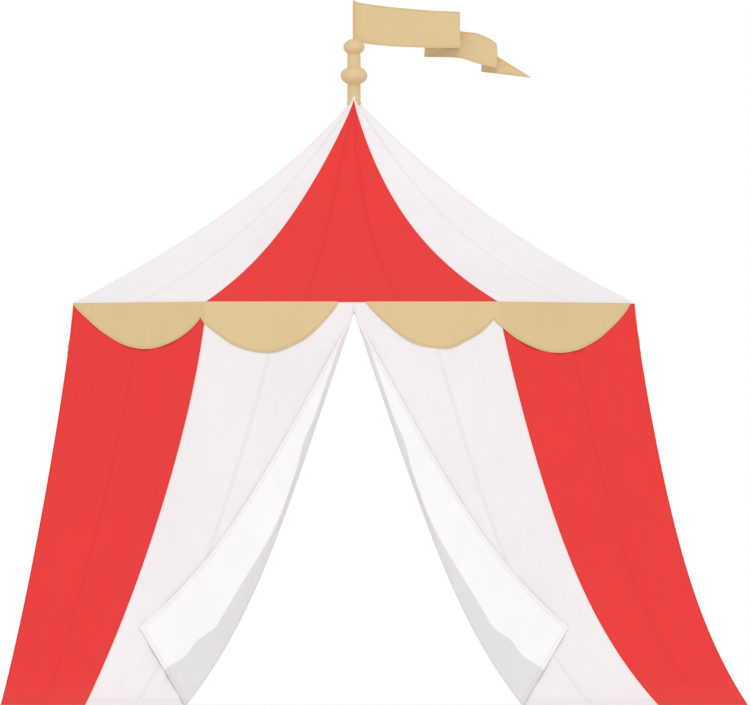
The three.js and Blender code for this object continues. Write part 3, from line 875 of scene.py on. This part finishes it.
def door_half(facing, hand, height):
    """Half an entrance's width at a height: lean t + curl t^5, t down from the entrance's head."""
    larger = 1 if facing < 0 else BACK_LARGER
    lean, curl = DOOR[hand]
    t = np.maximum(0, 1 - (EYE_LEVEL + (height - EYE_LEVEL) / larger) / DOOR_HEAD)
    return larger * (lean * t + curl * t ** 5)


def front_reach(height):
    """How far the front or back wall stands from the mast at a height."""
    return REACH + flare(WALL_FLARE["deep"]["reach"], 1 - height / EAVE)


def fold_radius(q):
    """The radius of the entrance's folded edge, which starts from nothing at its head."""
    return 0.0015 + (FOLD_RADIUS - 0.0015) * ease(q, 0.0, 0.12)


def make_half_walls():
    """The front and back walls, in two halves each: a row runs level from the corner to the entrance's fold,
    and above the entrance's head to the middle."""
    t = wall_rows()
    height = EAVE * (1 - t)
    for name, facing, hand, sign in DOORWAYS:
        head = door_head(facing)
        q = np.maximum(0, 1 - height / head)
        outer_x = np.abs(wall_corner(0 if sign < 0 else 1, t)[:, 0])
        inner_x = np.where(height > head, 0.0, door_half(facing, hand, height) + fold_radius(q) * 0.7)
        width = outer_x - inner_x
        share = seam_shares(46, width, 2)
        x = sign * (outer_x[:, None] + (inner_x - outer_x)[:, None] * share)
        z = np.repeat(height[:, None], share.shape[1], 1)
        face = np.stack([x, facing * front_reach(z), z], -1)
        swing = drape(share, t[:, None], 3.5, 1.9 + sign) * 0.8
        if facing * sign < 0:
            face, share, swing = face[:, ::-1], share[:, ::-1], swing[:, ::-1]
        dress_wall(f"{name}_half", face, share, width, 2, swing, False)


def make_wall_welts():
    """A bound welt down each corner of the walls."""
    for index, name in enumerate(CORNER_NAMES):
        t = np.linspace(0.006, 1 - 0.0075 / EAVE, 60)
        path = away(wall_corner(index, t), 0.0004)
        tube(f"corner_welt_{name}", path, 0.0044, red_binding, 10)


# Entrance.

# Each step of the strip: how much wider it gets, and from where to where down the entrance.
STRIP_STEPS = ((0.157, 0.50, 0.82), (0.112, 0.835, 0.915), (0.090, 0.935, 1.0))


def strip_width(q):
    """The width of the cloth that has turned to the opening, which the lining paints in its grey shade:
    narrow at first with a pucker, then wider in three soft steps."""
    pucker = 0.034 * np.exp(-((q - 0.345) / 0.045) ** 2)
    return 0.043 + pucker + sum(wider * ease(q, start, end) for wider, start, end in STRIP_STEPS)


def flap_face(facing, hand, sign):
    """The entrance's edge folded back over the wall, with its strip marks, which place the lining's painted
    shade. Rows run down from its head at q; across, a line from the loose edge to the fold, raised in a ridge
    where the turned strip ends, and then half a turn round the wall's edge. Towards the ground the ridge gets
    lower again."""
    head = door_head(facing)
    q = np.concatenate([np.linspace(0.006, 0.1, 10)[:-1], np.linspace(0.1, 1 - HEM_LIFT / head, 100)])
    t = FLAP_END * q
    lean, curl = FLAP_EDGE
    edge = np.stack([lean * t + curl * t ** 5, head * (1 - t)], -1)
    height = head * (1 - q)
    radius = fold_radius(q)
    fold = np.stack([door_half(facing, hand, height) + radius, height], -1)
    whole = np.linalg.norm(edge - fold, axis=1)
    strip = np.minimum(strip_width(q), (0.10 + 0.45 * ease(q, 0.015, 0.060)) * whole)
    ridge = (0.010 + 0.030 * q ** 1.4) * (1 - 0.75 * ease(q, 0.72, 1.0)) * np.minimum(1, whole / 0.2)
    rows = (q, height, radius, whole, strip, ridge)
    q, height, radius, whole, strip, ridge = (row[:, None] for row in rows)
    loose = np.linspace(1, 0, 23)[:-1] ** 0.9
    gone = np.concatenate([strip + (whole - strip) * loose, strip * np.linspace(1, 0, 13)], 1)
    at = fold[:, None] + (edge - fold)[:, None] * (gone / whole)[..., None]
    x = gone / strip
    y = (whole - gone) / (whole - strip)
    shape = np.where(x < 1, np.sin(np.pi / 2 * np.clip(x, 0, 1)) ** 1.2, np.clip(y, 0, 1) ** 0.75)
    ripple = 0.004 * q ** 2 * np.sin(TAU * (gone / 0.21 + 3.1 * q)) * np.clip(1 - shape, 0, 1)
    turn = np.linspace(0, np.pi, 13)[1:]
    across = np.concatenate([at[..., 0], fold[:, :1] - radius * np.sin(turn)], 1)
    down = np.concatenate([at[..., 1], np.repeat(height, len(turn), 1)], 1)
    out = np.concatenate([radius + 0.0005 + ridge * shape + np.abs(ripple), radius * np.cos(turn)], 1)
    # Strip marks for the painted shade: under 1 on the turned strip, and under 0 round the half turn, where
    # the shade is painted deeper.
    mark = np.concatenate([x, np.repeat(-turn[None] / np.pi, len(q), 0)], 1)
    return np.stack([sign * across, facing * (front_reach(down) + out), down], -1), mark


def make_flaps():
    """The four flaps, with a hem down the loose edge and along the foot."""
    for name, facing, hand, sign in DOORWAYS:
        face, mark = flap_face(facing, hand, sign)
        column = lengths(face, 0)
        hem = np.minimum(lengths(face, 1), column[-1:] - column)
        if facing * sign < 0:
            face, mark, hem = face[:, ::-1], mark[:, ::-1], hem[:, ::-1]
        cloth_sheet(
            f"flap_{name}", face, FLAP_CLOTH, lining, {"strip": mark, "hem": hem},
            f"door_flap_{name}",
        )


# Valance.

# A scallop at the sides and the back: sag, fullness and lean.
EVEN = (0.400, 0.82, 1.0)


def valance_runs():
    """Each run of the valance: its stretches of the eave (side, from share, to share), its depth at both
    ends, its number of scallops, and their shape: sag, fullness and lean."""
    front = HALF["left"] + HALF["right"]
    lap = 1 - HIP_SHIFT["left"] / (REACH - HALF["left"])
    right = (front + HIP_SHIFT["right"]) / front
    gap_left = (HALF["left"] - VALANCE_GAP["left"]) / front
    gap_right = (HALF["left"] + VALANCE_GAP["right"]) / front
    join_left, join_right, even_join = FRONT_JOIN["left"], FRONT_JOIN["right"], SCALLOP_JOIN
    end, both = SCALLOP_END, (SCALLOP_END, SCALLOP_END)
    return {
        "front_left_corner": ([(7, 0, lap)], (end, join_left), 1, (0.372, 0.74, 1.20)),
        "front_left": ([(7, lap, 1), (0, 0, gap_left)], (join_left, end), 1, (0.424, 0.85, 1.08)),
        "front_right": ([(0, gap_right, right)], (end, join_right), 1, (0.371, 0.95, 0.96)),
        "front_right_corner": (
            [(0, right, 1), (1, 0, RIGHT_CORNER_END)], (join_right, end), 1, (0.403, 0.78, 0.91),
        ),
        "right": ([(2, 0, 1)], both, 2, EVEN),
        "back_right_corner": ([(3, 0, 1)], (end, even_join), 1, EVEN),
        "back_right": ([(4, 0, 1 - gap_right)], (even_join, end), 1, EVEN),
        "back_left": ([(4, 1 - gap_left, 1)], (end, even_join), 1, EVEN),
        "back_left_corner": ([(5, 0, 1)], (even_join, end), 1, EVEN),
        "left": ([(6, 0, 1)], both, 2, EVEN),
    }


def scallop_face(legs, ends, count, shape):
    """The outer face of a run of scallops. Depth runs from one end's to the other's, plus a round sag: sag
    times sin(pi u^lean) to the power round. The cloth follows the wall down and stands a little off it,
    more where it flutes near its loose edge."""
    sag, rounded, lean = shape
    sides, shares = [], []
    for side, start, end in legs:
        wide = np.linalg.norm(wall_corner(side + 1, 0) - wall_corner(side, 0)) * (end - start)
        steps = max(2, int(wide / 0.013))
        run = np.linspace(start, end, steps + 1)
        if shares:
            run = run[1:]
        sides.append(np.full(len(run), side))
        shares.append(run)
    sides, shares = np.concatenate(sides), np.concatenate(shares)

    def on_wall(t):
        points = np.zeros((*t.shape, 3))
        for side in np.unique(sides):
            pick = sides == side
            a, b = (wall_corner(corner, t[:, pick]) for corner in (side, side + 1))
            points[:, pick] = between(a, b, shares[pick])
        return points

    top = on_wall(np.zeros((1, len(sides))))[0]
    reach = np.concatenate([[0], np.cumsum(np.linalg.norm(np.diff(top, axis=0), axis=1))])
    w = reach / reach[-1] * count
    scallop = np.minimum(np.floor(w), count - 1)
    u = w - scallop
    first = np.where(scallop == 0, ends[0], SCALLOP_JOIN)
    last = np.where(scallop == count - 1, ends[1], SCALLOP_JOIN)
    swing = np.maximum(np.sin(np.pi * np.clip(u, 0, 1) ** lean), 0) ** rounded
    depth = first + (last - first) * u + sag * swing
    band = np.minimum(0.020, 0.45 * depth)
    body = np.linspace(0, 1, 12)[:, None] * (depth - band - 0.0015)
    edge = depth - band * np.linspace(1, 0, 4)[:, None]
    level = np.concatenate([body, edge])
    relief = np.concatenate([np.zeros(len(body)), np.full(len(edge), HEM_RISE)])[:, None]
    flutes = 0.5 + 0.5 * np.sin(TAU * reach / 0.34 + 0.8 * np.sin(TAU * reach / 1.1))
    stand = 0.0062 + relief + 0.010 * (level / 0.45) ** 1.5 * flutes
    face = away(on_wall(level / EAVE), stand)
    return face, depth - level


def make_valance():
    """Each run's scalloped sheet, with piping along its loose edge."""
    for name, run in valance_runs().items():
        face, hem = scallop_face(*run)
        edge = face[-1] - outward(face)[-1] * VALANCE_CLOTH / 2
        piping = tube(f"valance_piping_{name}", edge, 0.0042, gold_binding, 8)
        cloth_sheet(
            f"valance_cloth_{name}", face, VALANCE_CLOTH, gold_cloth, {"hem": hem},
            f"valance_{name}", [piping],
        )


# Mast and streamer. A knob is its middle's height, its radius and half its height.

POST = 0.066
STAFF = 0.010
LOWER_KNOB = (6.335, 0.135, 0.096)
UPPER_KNOB = (6.622, 0.107, 0.082)


def knob(height, wide, tall, below, above):
    """An upright section of a knob: part of an ellipse from where it leaves one radius to another."""
    start = math.asin(math.sqrt(1 - (below / wide) ** 2))
    end = math.asin(math.sqrt(1 - (above / wide) ** 2))
    turn = np.linspace(-start, end, 26)
    return np.stack([wide * np.cos(turn), height + tall * np.sin(turn)], -1)


def ring_bead(height, radius, size):
    """A half-round bead that stands proud of a radius."""
    turn = np.linspace(-np.pi / 2, np.pi / 2, 8)
    return np.stack([radius + size * np.cos(turn), height + size * np.sin(turn)], -1)


def make_mast():
    """The gold post with its two knobs, and the thin staff with a bead at its foot and a rounded top."""
    profile = np.concatenate([
        [[0, 5.946], [POST - 0.002, 5.946], [POST, 5.948]],
        knob(*LOWER_KNOB, POST, POST),
        knob(*UPPER_KNOB, POST, STAFF),
        ring_bead(6.7066, STAFF, 0.003),
        [[STAFF, 7.086], [0.0085, 7.092], [0.005, 7.0955], [0, 7.096]],
    ])
    made = turned("finial", profile, gilt_paint, 96, sharp=40)
    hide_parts("finial_mast")


def through(points, count):
    """A smooth curve through points, a cubic for each stretch whose speed follows the square root of the
    stretch's length, sampled evenly by stretch."""
    points = np.asarray(points, float)
    before, after = 2 * points[0] - points[1], 2 * points[-1] - points[-2]
    p = np.concatenate([[before], points, [after]])
    u = np.linspace(0, len(points) - 1, count)
    i = np.minimum(u.astype(int), len(points) - 2)
    w = (u - i)[:, None]
    w2, w3 = w ** 2, w ** 3
    p0, p1, p2, p3 = (p[i + k] for k in range(4))
    gap = [
        np.maximum(np.linalg.norm(b - a, axis=1), 1e-6)[:, None] ** 0.5
        for a, b in ((p0, p1), (p1, p2), (p2, p3))
    ]
    m1 = ((p1 - p0) / gap[0] - (p2 - p0) / (gap[0] + gap[1]) + (p2 - p1) / gap[1]) * gap[1]
    m2 = ((p2 - p1) / gap[1] - (p3 - p1) / (gap[1] + gap[2]) + (p3 - p2) / gap[2]) * gap[1]
    ends = (2 * w3 - 3 * w2 + 1) * p1 + (3 * w2 - 2 * w3) * p2
    return ends + (w3 - 2 * w2 + w) * m1 + (w3 - w2) * m2


# Points along the streamer, from the staff out: x and y, and how high its lower and its upper edge are.
STREAMER_RUNS = [
    (0.0104, 0.000, 6.711, 7.083), (0.060, -0.007, 6.672, 7.069), (0.120, -0.014, 6.656, 7.059),
    (0.400, -0.045, 6.628, 7.022), (0.780, -0.052, 6.613, 6.989), (1.066, -0.040, 6.607, 6.972),
    (0.900, 0.008, 6.572, 6.935), (0.710, 0.048, 6.529, 6.903), (1.060, 0.092, 6.513, 6.787),
    (1.260, 0.084, 6.453, 6.757), (1.438, 0.104, 6.403, 6.650), (1.279, 0.150, 6.381, 6.620),
    (1.450, 0.182, 6.357, 6.527), (1.780, 0.150, 6.316, 6.323),
]


def clear_of_knob(foot):
    """The streamer's lower edge, lifted onto the upper knob where it would cut into it."""
    height, wide, tall = UPPER_KNOB
    near = np.linalg.norm(foot[:, :2], axis=1) / (wide + 0.002)
    knob_top = height + tall * np.sqrt(np.maximum(0, 1 - near ** 2)) + 0.0015
    lifted = foot.copy()
    lifted[:, 2] = np.maximum(foot[:, 2], np.where(near < 1, knob_top, 0))
    return lifted


def make_sleeve():
    """The sleeve that holds the streamer on the staff: a slim tube with a slightly uneven skin."""
    levels = np.linspace(6.715, 7.081, 24)
    skin = np.stack([0.0132 + 0.0006 * np.sin(levels * 55), levels], -1)
    profile = np.concatenate([[[0, 6.711], [0.0112, 6.711]], skin, [[0.0112, 7.085], [0, 7.085]]])
    return turned("streamer_sleeve", profile, gold_binding, 20)


def make_streamer():
    """A ruled sheet between an upper and a lower curve, with a slight belly and ripples square to it."""
    count = 313
    head = through([(x, y, high) for x, y, low, high in STREAMER_RUNS], count)
    foot = clear_of_knob(through([(x, y, low) for x, y, low, high in STREAMER_RUNS], count))
    v = np.concatenate([[0, 0.03], np.linspace(0.06, 0.94, 15), [0.97, 1]])[:, None]
    along = np.linspace(0, 1, count)
    face = between(head, foot, v)
    tangent = np.gradient(foot, axis=0)
    tangent[:, 2] = 0
    tangent /= np.maximum(np.linalg.norm(tangent, axis=1, keepdims=True), 1e-9)
    normal = np.stack([tangent[:, 1], -tangent[:, 0], np.zeros(count)], -1)
    slim = np.minimum(1, np.linalg.norm(head - foot, axis=1) / 0.3)
    ripple = 0.003 * np.sin(TAU * (along * 9 + v * 0.8)) * slim * ease(along, 0.0, 0.06)
    belly = 0.004 * np.sin(np.pi * v) * slim * ease(along, 0.0, 0.1)
    face = face + normal * (0.0012 + ripple + belly)[..., None]
    column = lengths(face, 0)
    hem = np.minimum(column, column[-1:] - column)
    cloth_sheet(
        "streamer_cloth", face, STREAMER_CLOTH, streamer_cloth, {"hem": hem},
        "streamer", [make_sleeve()],
    )


make_roof()
make_side_walls()
make_half_walls()
make_wall_welts()
make_flaps()
make_valance()
make_mast()
make_streamer()

for name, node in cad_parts.items():
    if name.startswith("leg_") or name in ("eave_ring", "cross_beams", "king_post"):
        node.data.materials.clear()
        node.data.materials.append(bare_metal)
